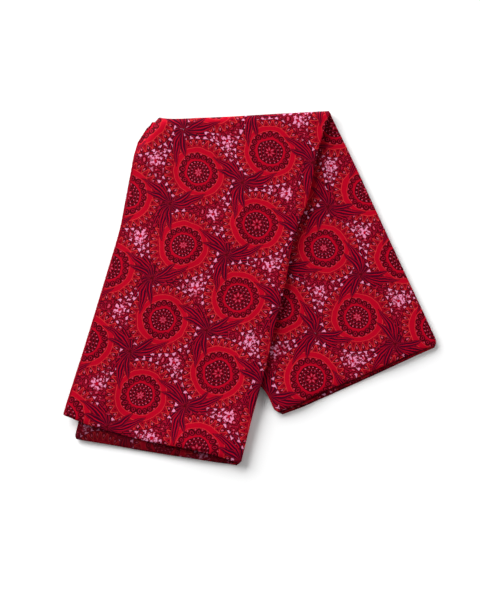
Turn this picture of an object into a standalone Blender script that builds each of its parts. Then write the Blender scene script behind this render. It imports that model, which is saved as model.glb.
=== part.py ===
"""A one metre length of printed cotton cloth, folded in four along its length and once across.

The cloth is one sheet that runs back and forth in four layers. The strip that they make is turned
over at a slant, so its left leg lies on its right leg, and a notch opens between the two cut ends.
All sizes are in metres, with +Z up and the cloth lying on z = 0.
"""

from math import cos, exp, pi, radians, sin
from typing import NamedTuple

import bmesh
import bpy
from mathutils import Vector

# Driving sizes of the cloth and of its folds
CLOTH_WIDTH = 1.130
CLOTH_LENGTH = 1.000
LAYERS = 4
SHEET = 0.0010
LAYER_PITCH = 0.0024
LEG_GAP = 0.0026
LEFT_LEG = 0.537
LEFT_LEG_TURN = radians(14.0)
FOLD_TURN = radians(4.2)

# Lengths over which the left leg drops off the right leg, and over which swells fade in
DRAPE_RUN = 0.095
SWELL_RUN = 0.050

# Slumped left corner of the fold, and the slant at which rounded corners begin
TUCK = 0.008
TUCK_SPREAD = 0.032
CORNER_SLOPE = 0.8

# Sizes that follow from them
RIGHT_LEG = CLOTH_LENGTH - LEFT_LEG
HALF_STRIP = CLOTH_WIDTH / LAYERS / 2
STACK = (LAYERS - 1) * LAYER_PITCH
SIDE_RADIUS = LAYER_PITCH / 2
FOLD_RADIUS = (STACK + SHEET + LEG_GAP) / 2
FOLD_HEIGHT = STACK / 2 + FOLD_RADIUS + SHEET / 2
TURN_RUN = FOLD_RADIUS * pi / 2
SLANT = LEFT_LEG_TURN + FOLD_TURN

# Steps of the sheet across a layer and a side fold, over the turn and along each leg
PANEL_STEPS = 10
SIDE_STEPS = 4
TURN_STEPS = 8
LEFT_STEPS = 12
RIGHT_STEPS = 10

# Distances of the closer rows from a cut end and from the turn
NEAR_CUT = (0.0, 0.003, 0.008, 0.017, 0.032)
NEAR_TURN = (0.0, 0.006, 0.014, 0.026, 0.045)

# Colour and finish of the cotton
CRIMSON = (0.258, 0.008, 0.019, 1.0)
COTTON_ROUGHNESS = 0.85


class Edge(NamedTuple):
    """An edge or side fold of the strip, in the order in which the cloth runs through them.

    It lies on side 1 or -1, out past half the strip's width at its left cut, the turn and its right
    cut. Its ends reach past the square cuts, and its corners are rounded over the lengths given.
    """

    name: str
    side: int
    out_left: float
    out_turn: float
    out_right: float
    reach_left: float
    reach_right: float
    round_left: float
    round_turn: float
    round_right: float


EDGES = (
    Edge("top selvedge", -1, -0.001, -0.009, -0.016, 0.000, 0.010, 0.000, 0.024, 0.006),
    Edge("first fold", 1, 0.000, 0.004, 0.006, 0.008, 0.006, 0.009, 0.005, 0.006),
    Edge("second fold", -1, -0.028, 0.005, -0.014, 0.026, 0.007, 0.006, 0.042, 0.012),
    Edge("third fold", 1, -0.003, 0.002, 0.006, 0.005, 0.002, 0.010, 0.005, 0.006),
    Edge("low selvedge", -1, -0.022, 0.000, -0.013, 0.019, 0.001, 0.004, 0.009, 0.008),
)


class LayerEnd(NamedTuple):
    """How far the middle of a layer's two cut ends bows out past their corners."""

    name: str
    bow_left: float
    bow_right: float


LAYER_ENDS = (
    LayerEnd("first", 0.001, 0.001),
    LayerEnd("second", 0.004, 0.002),
    LayerEnd("third", 0.002, 0.001),
    LayerEnd("fourth", 0.001, -0.002),
)


class Swell(NamedTuple):
    """A soft rise of the upper layers, placed from the fold and from the middle of the strip."""

    leg: str
    along: float
    side: float
    long: float
    wide: float
    rise: float


SWELLS = (
    Swell("left", 0.540, -0.135, 0.070, 0.060, 0.0050),
    Swell("left", 0.535, 0.070, 0.050, 0.080, 0.0030),
    Swell("left", 0.330, -0.050, 0.120, 0.070, 0.0020),
    Swell("left", 0.150, 0.060, 0.090, 0.060, 0.0016),
    Swell("right", 0.450, -0.090, 0.045, 0.050, 0.0035),
    Swell("right", 0.300, 0.080, 0.110, 0.045, 0.0018),
    Swell("right", 0.460, 0.090, 0.060, 0.040, 0.0020),
)


class Row(NamedTuple):
    """A line across the strip: its leg, its share of the way to the cut, and its turn's angle."""

    leg: str
    share: float
    angle: float


class Column(NamedTuple):
    """A line along the strip: its layer, its share of the way across, and its side fold's angle."""

    layer: int
    share: float
    angle: float


def blend(start, stop, share):
    """Value a share of the way from start to stop."""
    return start + (stop - start) * share


def ease(value):
    """Smooth step from 0 to 1."""
    value = min(max(value, 0.0), 1.0)
    return value * value * (3 - 2 * value)


def corner_inset(distance, reach):
    """How far a rounded corner draws an edge in, as a soft curve along its reach."""
    if distance >= reach:
        return 0.0
    return CORNER_SLOPE / 2 * (reach - distance) ** 2 / reach


def leg_length(leg):
    """Length of a leg from the fold line to its cut."""
    return LEFT_LEG if leg == "left" else RIGHT_LEG


def edge_out(edge, leg, share):
    """How far an edge lies out from half the strip, before its corners are rounded."""
    return blend(edge.out_turn, edge.out_left if leg == "left" else edge.out_right, share)


def edge_side(edge, row):
    """Signed distance of an edge from the middle of the strip on a row."""
    if row.leg == "turn":
        flat = abs(row.angle - pi / 2) * FOLD_RADIUS
        inset = corner_inset(flat, edge.round_turn)
        return edge.side * (HALF_STRIP + edge.out_turn - inset)
    radius = edge.round_left if row.leg == "left" else edge.round_right
    length = leg_length(row.leg)
    inset = corner_inset((1 - row.share) * length, radius)
    inset += corner_inset(row.share * length + TURN_RUN, edge.round_turn)
    return edge.side * (HALF_STRIP + edge_out(edge, row.leg, row.share) - inset)


def across(row, column):
    """Sideways place and level of a column on a row, with level 0 lowest on the left leg."""
    start_edge = EDGES[column.layer]
    stop_edge = EDGES[column.layer + 1]
    start = edge_side(start_edge, row)
    stop = edge_side(stop_edge, row)
    if column.layer > 0:
        start -= start_edge.side * SIDE_RADIUS
    if column.layer < LAYERS - 1:
        stop -= stop_edge.side * SIDE_RADIUS
    side = blend(start, stop, column.share) + stop_edge.side * SIDE_RADIUS * sin(column.angle)
    level = LAYERS - 1 - column.layer - (1 - cos(column.angle)) / 2
    return side, level


def cut_reach(leg, column):
    """How far a column runs past the square cut at the end of its leg."""
    start_edge = EDGES[column.layer]
    stop_edge = EDGES[column.layer + 1]
    ends = LAYER_ENDS[column.layer]
    bulge = 4 * column.share * (1 - column.share)
    if leg == "left":
        return blend(start_edge.reach_left, stop_edge.reach_left, column.share) + ends.bow_left * bulge
    return blend(start_edge.reach_right, stop_edge.reach_right, column.share) + ends.bow_right * bulge


def flat_place(row, column, side):
    """Place in the flat strip, along and across its slanted fold line."""
    if row.leg == "turn":
        ahead = (row.angle - pi / 2) * FOLD_RADIUS
        along = (ahead + side * sin(SLANT)) / cos(SLANT)
    else:
        sign = -1 if row.leg == "left" else 1
        turn_end = (sign * TURN_RUN + side * sin(SLANT)) / cos(SLANT)
        cut = sign * (leg_length(row.leg) + cut_reach(row.leg, column))
        along = blend(turn_end, cut, row.share)
        ahead = along * cos(SLANT) - side * sin(SLANT)
    beside = side * cos(SLANT) + along * sin(SLANT)
    return beside, ahead


def drop_share(beside, ahead):
    """How much of its full drop the left leg has made where it leaves the right leg under it."""
    side = beside * cos(SLANT) + ahead * sin(SLANT)
    along = beside * sin(SLANT) - ahead * cos(SLANT)
    share = min(max(along / RIGHT_LEG, 0.0), 1.0)
    inner = max(edge_out(edge, "right", share) for edge in EDGES if edge.side < 0)
    beyond = -side - HALF_STRIP - inner
    return ease(beyond / DRAPE_RUN) * ease((-ahead - TURN_RUN) / DRAPE_RUN)


def swell_rise(leg, beside, ahead):
    """Rise of the uppermost layer at a place, none at the fold or under the left leg."""
    flat_ahead = ahead if leg == "left" else -ahead
    side = beside * cos(SLANT) - flat_ahead * sin(SLANT)
    along = abs(beside * sin(SLANT) + flat_ahead * cos(SLANT))
    rise = 0.0
    for swell in SWELLS:
        if swell.leg == leg:
            far = ((along - swell.along) / swell.long) ** 2 + ((side - swell.side) / swell.wide) ** 2
            rise += swell.rise * exp(-far)
    rise *= ease((-ahead - TURN_RUN) / SWELL_RUN)
    if leg == "right":
        left_leg_side = beside * cos(SLANT) - ahead * sin(SLANT)
        rise *= ease((left_leg_side - HALF_STRIP - EDGES[1].out_turn) / SWELL_RUN)
    return rise


def tucked(beside, ahead):
    """A place drawn in towards the cloth where the left corner of the fold has slumped."""
    corner = HALF_STRIP / cos(SLANT)
    far = ((beside + corner) ** 2 + ahead ** 2) / TUCK_SPREAD ** 2
    pull = TUCK * exp(-far)
    inward = pi / 4 + SLANT / 2
    return beside + pull * cos(inward), ahead - pull * sin(inward)


def sheet_point(row, column):
    """Place of one point of the sheet's middle, with the fold line's middle over the origin."""
    side, level = across(row, column)
    beside, ahead = flat_place(row, column, side)
    if row.leg == "turn":
        radius = FOLD_RADIUS + level * LAYER_PITCH - STACK / 2
        ahead = radius * sin(row.angle) - TURN_RUN
        height = FOLD_HEIGHT + radius * cos(row.angle)
    elif row.leg == "left":
        lifted = FOLD_HEIGHT + FOLD_RADIUS - STACK / 2
        base = blend(lifted, SHEET / 2, drop_share(beside, ahead))
        height = base + level * (LAYER_PITCH + swell_rise("left", beside, ahead) / (LAYERS - 1))
    else:
        ahead = -ahead
        step = LAYER_PITCH + swell_rise("right", beside, ahead) / (LAYERS - 1)
        height = SHEET / 2 + (LAYERS - 1 - level) * step
    beside, ahead = tucked(beside, ahead)
    x = beside * cos(FOLD_TURN) - ahead * sin(FOLD_TURN)
    y = beside * sin(FOLD_TURN) + ahead * cos(FOLD_TURN)
    return Vector((x, y, height))


def leg_rows(leg, steps):
    """Rows of a leg from its turn to its cut, closer together near both."""
    length = leg_length(leg)
    first = NEAR_TURN[-1]
    last = length - NEAR_CUT[-1]
    even = [blend(first, last, step / steps) for step in range(1, steps)]
    distances = list(NEAR_TURN) + even + [length - near for near in reversed(NEAR_CUT)]
    return [Row(leg, distance / length, 0.0) for distance in distances]


def strip_rows():
    """Rows of the whole strip, from the left cut over the turn to the right cut."""
    turn = [Row("turn", 0.0, pi * step / TURN_STEPS) for step in range(1, TURN_STEPS)]
    left = leg_rows("left", LEFT_STEPS)
    return left[::-1] + turn + leg_rows("right", RIGHT_STEPS)


def strip_columns():
    """Columns of the whole section, from the top selvedge through every layer and side fold."""
    columns = []
    for layer in range(LAYERS):
        columns += [Column(layer, step / PANEL_STEPS, 0.0) for step in range(PANEL_STEPS + 1)]
        if layer < LAYERS - 1:
            columns += [Column(layer, 1.0, pi * step / SIDE_STEPS) for step in range(1, SIDE_STEPS)]
    return columns


def sheet_mesh():
    """Open sheet of the folded cloth, made from a flat grid whose points are moved to their folds."""
    rows = strip_rows()
    columns = strip_columns()
    sheet = bmesh.new()
    bmesh.ops.create_grid(sheet, x_segments=len(columns) - 1, y_segments=len(rows) - 1, size=1.0)
    for point in sheet.verts:
        column = round((point.co.x + 1) / 2 * (len(columns) - 1))
        row = round((point.co.y + 1) / 2 * (len(rows) - 1))
        point.co = sheet_point(rows[row], columns[column])
    mesh = bpy.data.meshes.new("folded_cloth")
    sheet.to_mesh(mesh)
    sheet.free()
    return mesh


def cotton():
    """Crimson cotton."""
    material = bpy.data.materials.new("cotton")
    material.use_nodes = True
    surface = material.node_tree.nodes["Principled BSDF"]
    surface.inputs["Base Color"].default_value = CRIMSON
    surface.inputs["Roughness"].default_value = COTTON_ROUGHNESS
    surface.inputs["Metallic"].default_value = 0.0
    return material


def centre_on_origin(thing):
    """Moves an object so that its box stands centred on the origin."""
    finished = thing.evaluated_get(bpy.context.evaluated_depsgraph_get())
    for axis in (0, 1):
        values = [corner[axis] for corner in finished.bound_box]
        thing.location[axis] = -(min(values) + max(values)) / 2


def folded_cloth(collection):
    """The cloth as one solid: the open sheet, given its thickness."""
    mesh = sheet_mesh()
    mesh.shade_smooth()
    cloth = bpy.data.objects.new("folded_cloth", mesh)
    collection.objects.link(cloth)
    cloth.data.materials.append(cotton())
    shell = cloth.modifiers.new("thickness", "SOLIDIFY")
    shell.thickness = SHEET
    shell.offset = 0.0
    centre_on_origin(cloth)
    return cloth


def main():
    """Clears the scene and builds the cloth in a collection of its own."""
    for thing in list(bpy.data.objects):
        bpy.data.objects.remove(thing, do_unlink=True)
    collection = bpy.data.collections.new("shweshwe_fabric")
    bpy.context.scene.collection.children.link(collection)
    folded_cloth(collection)


main()
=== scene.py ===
"""Printed cotton cloth, folded in four along its length and once across, as a Blender add-on.

It is run as a script. The cloth is one thin sheet on the folds of its solid, with soft creases, a
procedural print in the cloth's own coordinates and frayed yarns along its two cut ends.
Lengths are in metres, and the print's sizes are in millimetres of cloth.
"""

from math import cos, exp, hypot, pi, radians, sin
from typing import NamedTuple

import bmesh
import bpy
from bpy.props import FloatProperty, FloatVectorProperty, IntProperty, PointerProperty
from bpy.types import Operator, Panel, PropertyGroup
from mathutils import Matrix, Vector


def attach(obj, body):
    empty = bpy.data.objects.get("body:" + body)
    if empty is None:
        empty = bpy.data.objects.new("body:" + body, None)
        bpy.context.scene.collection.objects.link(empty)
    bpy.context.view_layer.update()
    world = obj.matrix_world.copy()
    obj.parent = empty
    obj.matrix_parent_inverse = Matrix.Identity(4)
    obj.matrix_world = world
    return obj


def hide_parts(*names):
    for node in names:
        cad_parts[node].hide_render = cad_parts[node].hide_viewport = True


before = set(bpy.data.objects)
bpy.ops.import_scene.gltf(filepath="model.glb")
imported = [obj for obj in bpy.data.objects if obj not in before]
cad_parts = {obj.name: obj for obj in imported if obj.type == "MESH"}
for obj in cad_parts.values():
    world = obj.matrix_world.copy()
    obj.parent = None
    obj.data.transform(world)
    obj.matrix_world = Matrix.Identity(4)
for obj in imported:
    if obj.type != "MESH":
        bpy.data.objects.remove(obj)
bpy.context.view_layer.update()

bl_info = {
    "name": "Folded Printed Cotton",
    "version": (1, 0, 0),
    "blender": (4, 5, 0),
    "location": "3D View > Sidebar > Cloth",
    "description": "Builds a folded length of printed cotton, its frayed cut ends and a studio",
    "category": "Object",
}

CLOTH_NODE = "folded_cloth"
CLOTH_MAP = "cloth"
IMAGE_MAP = "OFBake"
RIM_MATERIAL = 2
MILLIMETRES = 1000.0
SENSOR_WIDTH = 36.0
FLOOR_DROP = 0.0002
# Roughness and specular level of the floor and of loose or raw fibres.
FLOOR_FINISH = (0.9, 0.1)
FIBRE_FINISH = (0.9, 0.2)
# Inputs of the yarns' nodes, each set from the size of that name.
YARN_SIZES = ("Spacing", "Diameter", "Shortest", "Longest", "Spread", "Bend")
# A yarn's corners and steps, its root's depth and its bend's height as shares of its length, and
# how far its way is drawn out of the cloth.
YARN_CORNERS = 4
YARN_ROOT = 0.3
YARN_BEND = 0.7
LEAST_OUT, MOST_OUT = 0.08, 0.35

# Rows near a turn or cut: the length that they cover, how many there are, and how they crowd.
NEAR_RUN = 0.045
NEAR_STEPS = 10
NEAR_POWER = 2.2
# How much the columns crowd towards the side folds, from 0 to 1.
CROWDING = 0.78
# A crease's own bow in widths, and the share of its run over which it fades at each end.
CREASE_BOW = 0.8
CREASE_FADE = 0.25
# Share of the reverse's fade by which its print sinks in the ground.
# The fade is partly the duller print of the reverse and partly painted shade on the lower layers
# seen at the cut ends.
SUNK_SHARE = 0.6
# Depth of the weave as a share of its thread pitch, and the threads' share of its relief.
WEAVE_DEPTH = 0.25
THREAD_SHARE = 0.5


# Tables of the folds


class Edge(NamedTuple):
    """An edge or side fold of the strip, given in the order in which the cloth runs through them.

    It lies on side 1 or -1, out past half the strip's width by the millimetres given, at even
    steps from the turn to the cut of each leg. Its corners are rounded over the lengths given in
    metres, at the slant given at the turn.
    """

    side: int
    left: tuple
    right: tuple
    round_left: float
    round_turn: float
    round_right: float
    slant_turn: float


EDGES = (
    Edge(
        -1,  # top selvedge
        (5.2, 2.2, -3.0, -6.2, -5.6, -4.6, -3.5, -2.0, -1.0),
        (5.2, -2.0, -8.0, -11.5, -12.5, -13.5, -14.5, -15.5, -16.0),
        0.002, 0.042, 0.012, 1.7,
    ),
    Edge(
        1,  # first fold
        (4.0, 0.4, 3.6, -3.6, 0.4, 0.4, 1.8, 0.2, 0.2),
        (4.0, 5.4, 6.0, 6.0, 6.0, 6.0, 6.2, 6.8, 7.0),
        0.004, 0.005, 0.012, 0.8,
    ),
    Edge(
        -1,  # second fold
        (5.0, 2.2, -2.0, -7.6, -12.0, -16.0, -20.0, -24.0, -26.6),
        (5.0, 2.5, 0.0, -2.5, -5.0, -7.5, -10.0, -12.5, -14.0),
        0.006, 0.042, 0.012, 1.7,
    ),
    Edge(
        1,  # third fold
        (2.0, -0.8, 2.4, -4.4, -0.8, -0.8, 0.4, -0.8, 0.2),
        (2.0, 4.2, 5.0, 5.2, 5.4, 5.6, 6.0, 6.4, 6.4),
        0.010, 0.005, 0.010, 0.8,
    ),
    Edge(
        -1,  # low selvedge
        (0.0, -3.5, -7.0, -11.0, -15.0, -19.0, -23.0, -27.0, -30.0),
        (0.0, -1.5, -3.0, -5.0, -7.0, -9.0, -11.0, -12.5, -13.0),
        0.004, 0.036, 0.008, 1.5,
    ),
)


class LayerEnd(NamedTuple):
    """How far a layer's two cut ends reach past square ones, from the top layer down.

    In millimetres, at even steps across the layer in the order in which the cloth runs.
    """

    left: tuple
    right: tuple


LAYER_ENDS = (
    LayerEnd(
        (-2.4, 2.4, 4.2, 4.8, 4.6, 2.8, 1.0, 0.8, 3.0),
        (10.5, 11.8, 11.0, 10.2, 9.3, 8.3, 7.1, 5.8, 5.0),
    ),
    LayerEnd(
        (3.0, 8.0, 11.4, 14.2, 16.8, 19.4, 22.0, 24.8, 27.6),
        (5.0, 5.0, 5.8, 6.6, 7.4, 8.0, 8.8, 9.4, 8.6),
    ),
    LayerEnd(
        (27.6, 25.2, 22.8, 20.8, 18.4, 15.8, 12.8, 10.0, 6.8),
        (8.6, 7.4, 5.6, 5.2, 5.0, 4.6, 4.0, 3.2, 2.0),
    ),
    LayerEnd(
        (6.8, 8.2, 10.0, 12.4, 14.4, 16.4, 18.4, 20.0, 21.0),
        (2.0, 1.0, 1.4, 2.0, 2.6, 2.4, 2.2, 5.2, 5.0),
    ),
)
LAYERS = len(LAYER_ENDS)


class Bow(NamedTuple):
    """A place where the fold line bows out past a straight one."""

    beside: float
    wide: float
    out: float


BOWS = (
    Bow(-0.1490, 0.0040, 0.0050),
    Bow(-0.1390, 0.0038, 0.0050),
    Bow(-0.1315, 0.0185, 0.0076),
    Bow(-0.1265, 0.0045, 0.0024),
    Bow(-0.110, 0.020, 0.0014),
    Bow(-0.085, 0.050, 0.0028),
    Bow(0.000, 0.150, 0.0028),
)


class Sag(NamedTuple):
    """A corner that sags past a line: a point of the line, the way out, the run and the share."""

    beside: float
    ahead: float
    way: float
    run: float
    share: float


SAG = Sag(-0.1331, -0.0308, radians(132.0), 0.014, 0.50)


class Swell(NamedTuple):
    """A soft hump on a leg, placed from the fold and from the middle of the strip.

    The hump raises the upper layers. The one at the notch pushes the right leg's side out instead.
    """

    leg: str
    along: float
    side: float
    long: float
    wide: float
    rise: float


SWELLS = (
    Swell("left", 0.540, -0.135, 0.070, 0.060, 0.0050),
    Swell("left", 0.540, 0.080, 0.055, 0.080, 0.0085),
    Swell("left", 0.330, -0.050, 0.120, 0.070, 0.0020),
    Swell("left", 0.150, 0.060, 0.090, 0.060, 0.0016),
    Swell("left", 0.230, 0.138, 0.150, 0.045, 0.0022),
    Swell("right", 0.450, -0.090, 0.045, 0.050, 0.0035),
    Swell("right", 0.300, 0.080, 0.110, 0.045, 0.0018),
    Swell("right", 0.460, 0.090, 0.060, 0.040, 0.0020),
)
NOTCH = Swell("right", 0.420, -0.128, 0.011, 0.026, 0.0046)


class Crease(NamedTuple):
    """A soft ridge, or a trough where its rise is below zero, that runs between two places."""

    leg: str
    start: tuple
    stop: tuple
    width: float
    rise: float


CREASES = (
    Crease("left", (0.035, -0.105), (0.180, -0.060), 0.013, -0.0016),
    Crease("left", (0.060, 0.020), (0.210, 0.050), 0.016, 0.0012),
    Crease("left", (0.120, -0.125), (0.300, -0.095), 0.012, 0.0011),
    Crease("left", (0.235, 0.000), (0.400, -0.030), 0.015, -0.0013),
    Crease("left", (0.300, 0.085), (0.440, 0.120), 0.012, 0.0012),
    Crease("left", (0.420, -0.110), (0.530, -0.040), 0.014, -0.0015),
    Crease("left", (0.455, 0.020), (0.535, 0.060), 0.012, 0.0012),
    Crease("right", (0.130, 0.110), (0.300, 0.060), 0.013, -0.0012),
    Crease("right", (0.200, 0.030), (0.360, 0.100), 0.015, 0.0011),
    Crease("right", (0.330, -0.110), (0.455, -0.040), 0.013, -0.0013),
    Crease("right", (0.400, 0.010), (0.460, 0.060), 0.012, 0.0012),
)


class Patch(NamedTuple):
    """Part of the cloth, in metres across and along it, and its place in the image of its colours.

    Both are given as left, low, right and high.
    """

    cloth: tuple
    image: tuple


PRINT_PATCHES = (
    Patch((0.000, -0.006, 0.283, 0.537), (0.000, 0.280, 0.370, 1.000)),
    Patch((0.848, 0.537, 1.130, 1.006), (0.370, 0.280, 0.740, 1.000)),
    Patch((0.000, 0.537, 0.283, 1.012), (0.740, 0.520, 1.000, 1.000)),
    Patch((0.848, -0.022, 1.130, 0.537), (0.740, 0.000, 1.000, 0.520)),
    Patch((0.283, -0.028, 0.566, 1.012), (0.000, 0.030, 0.090, 0.280)),
    Patch((0.566, -0.028, 0.848, 1.010), (0.090, 0.030, 0.180, 0.280)),
)
REVERSE_PATCHES = (
    Patch((0.283, -0.028, 0.566, 0.040), (0.510, 0.155, 0.740, 0.280)),
    Patch((0.566, 0.970, 0.848, 1.010), (0.510, 0.030, 0.740, 0.155)),
    Patch((0.000, -0.006, 0.283, 1.012), (0.180, 0.030, 0.265, 0.280)),
    Patch((0.283, 0.040, 0.566, 1.012), (0.265, 0.030, 0.350, 0.280)),
    Patch((0.566, -0.028, 0.848, 0.970), (0.350, 0.030, 0.435, 0.280)),
    Patch((0.848, -0.022, 1.130, 1.006), (0.435, 0.030, 0.510, 0.280)),
)
PATCH_MARGIN = 0.005
RIM_IMAGE = (0.010, 0.005, 0.730, 0.025)
RIM_REACH = 2.2
RIM_START = 0.02


class Row(NamedTuple):
    """A line across the strip: its leg, its share of the way to the cut, and its turn's angle."""

    leg: str
    share: float
    angle: float


class Column(NamedTuple):
    """A line along the strip: its layer, its share of the way across, and its side fold's angle."""

    layer: int
    share: float
    angle: float


# Tables of the print, in millimetres of cloth


class Disc(NamedTuple):
    """A disc in one ink."""

    ink: str
    reach: float

    def mask(self, spot):
        """1 inside the disc."""
        return inside(spot.drawn, self.reach, spot.soft)


class Circle(NamedTuple):
    """A line in one ink at one distance from a centre."""

    ink: str
    reach: float
    half_wide: float

    def mask(self, spot):
        """1 along the line."""
        return inside(abs(spot.drawn - self.reach), self.half_wide, spot.soft)


class Dots(NamedTuple):
    """A ring of dots in one ink. They may stand between the middle lines of their sectors."""

    ink: str
    sectors: int
    between: bool
    middle: float
    size: float

    def mask(self, spot):
        """1 inside each dot."""
        beside = in_sector(spot, self.sectors, self.between) / self.size
        far = (spot.drawn - self.middle) / self.size
        return inside(maths("SQRT", far * far + beside * beside), 1.0, DOT_BLUR)


class Petals(NamedTuple):
    """A ring of pointed petals in one ink, which fills them up to a share of their size."""

    ink: str
    sectors: int
    between: bool
    middle: float
    half_long: float
    half_wide: float
    blur: float
    filled: float = 1.0

    def share(self, spot):
        """0 in the middle of each petal and 1 at its edge."""
        far = (spot.drawn - self.middle) / self.half_long
        beside = in_sector(spot, self.sectors, self.between)
        return far * far + abs(beside) / self.half_wide

    def mask(self, spot):
        """1 where the petals are filled."""
        return inside(self.share(spot), self.filled, self.blur)


SCALES = (
    Petals("vein", 32, True, 55.4, 6.0, 5.2, 0.08),
    Petals("deep", 32, True, 55.4, 5.2, 4.0, 0.12),
    Petals("red", 32, True, 54.8, 3.6, 2.3, 0.16),
    Petals("rose", 32, True, 54.2, 1.9, 1.1, 0.25),
)
LACE = (
    Disc("deep", 47.4),
    Disc("red", 46.6),
    Petals("deep", 28, False, 42.2, 4.3, 3.0, 0.14),
    Petals("rose", 28, False, 42.4, 2.0, 1.1, 0.30),
)
LACE_SEEDS = (Dots("deep", 28, True, 38.4, 0.9),)
ROSETTE = (
    Disc("orange", 36.4),
    Disc("crimson", 35.9),
    Disc("orange", 29.6),
    Disc("red", 29.2),
    Petals("deep", 18, False, 24.6, 4.7, 4.3, 0.12),
    Petals("vein", 18, False, 24.2, 3.0, 2.1, 0.18),
    Petals("deep", 18, False, 24.2, 1.9, 1.1, 0.25),
    Dots("rose", 18, True, 27.4, 0.8),
    Disc("crimson", 20.2),
    Disc("deep", 17.4),
    Dots("rose", 18, False, 15.4, 0.95),
    Circle("red", 13.2, 0.35),
    Dots("rose", 13, False, 11.0, 0.80),
    Circle("vein", 9.0, 0.30),
    Petals("red", 7, False, 4.8, 3.4, 2.0, 0.14),
    Petals("rose", 7, False, 4.8, 3.4, 2.0, 0.14, 0.35),
)
BLOSSOM = Petals("blossom", 5, False, 5.6, 5.0, 4.0, 0.30, 0.45)
DOT_BLUR = 0.3
LACE_BLUR = 0.5
# How much smaller the rosettes of the dropped columns are.
DROPPED_SMALLER = 1.8
# The lace's teeth: how many, where they start and stop, their length, and their line and blur
# as shares of half a tooth.
TEETH, TEETH_START, TEETH_STOP, TEETH_LONG = 28, 36.6, 47.0, 10.0
TOOTH_LINE, TOOTH_BLUR = 0.07, 0.05
# The fringe outside the lace: how many tufts, half a tuft's width, its start, length and rags.
TUFTS, TUFT_WIDE, TUFT_START, TUFT_LONG, TUFT_RAGGED = 32, 3.4, 48.4, 4.8, 1.5
FRINGE_RIM = Circle("blossom", 50.8, 3.0)
# Pale crumbs of lace lie outside this radius.
CRUMBS_START = 52.0
RIM_BLUR = 0.4


class Leaf(NamedTuple):
    """Leaves round a centre: the first one's turn, their reach, half their width and their curl."""

    turn: float
    reach: float
    half_wide: float
    curl: float


LEAVES_BELOW = (Leaf(0.70, 34.0, 4.8, 0.60), Leaf(0.34, 42.0, 5.4, 0.60))
LEAVES_ABOVE = (Leaf(-0.10, 46.0, 5.6, 0.42), Leaf(-0.46, 34.0, 4.4, 0.30))
LEAF_COUNT = 3
LEAF_START = 1.5
LEAF_VEIN = 2.1
LEAST_ROOM = 0.05
BLOSSOM_RAGGED = 3.0
BLOSSOM_HEART = Disc("crimson", 2.0)

# Inks of one form, one over the other, each with the share that it stays below and its blur.
FRINGE_EDGES = (("deep", 1.20, 0.12), ("vein", 0.78, 0.14))
LEAF_EDGES = (("deep", 0.14, 0.05), ("vein", 0.0, 0.05), ("plum", -0.10, 0.05))
BLOSSOM_EDGES = (("deep", 1.30, 0.14), ("vein", 0.95, 0.18))

# Edges and blurs of masks over the noise, the fringe, a leaf and its veins.
CRUMB_FLECKS, CRUMB_PATCHES, PALE_PATCHES = (0.41, 0.05), (0.40, 0.06), (0.56, 0.05)
PALE_FRINGE, MOTTLE_EDGE = (0.66, 0.20), (0.5, 0.12)
VEIN_ROOM, VEIN_LINE = (-0.16, 0.06), (0.75, 0.30)

# Patterns of noise: how fine each is, and its detail.
STRAY_NOISE = (46.0, 1.0)
FLECK_NOISE = (280.0, 1.0)
PATCH_NOISE = (26.0, 0.0)
SLUB_NOISE = (180.0, 2.0)
MOTTLE_NOISE = (420.0, 2.0)


# Sizes and colours of the panel


def srgb(*screen):
    """Linear colour of a screen colour given in 255ths."""
    shares = (value / 255 for value in screen)
    return tuple(
        share / 12.92 if share <= 0.04045 else ((share + 0.055) / 1.055) ** 2.4
        for share in shares
    )


def setting(kind, **fixed):
    """Makes properties of one kind, each from its name, its description and its default."""
    return lambda name, description, default: kind(
        name=name, description=description, default=default, **fixed
    )


length = setting(FloatProperty, min=0.0, precision=5, unit="LENGTH", subtype="DISTANCE")
angle = setting(FloatProperty, unit="ROTATION", subtype="ANGLE")
place = setting(FloatVectorProperty, size=3, unit="LENGTH", subtype="TRANSLATION")
colour = setting(FloatVectorProperty, size=3, min=0.0, max=1.0, subtype="COLOR")
number = setting(FloatProperty, min=0.0)
count = setting(IntProperty, min=1)


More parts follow.
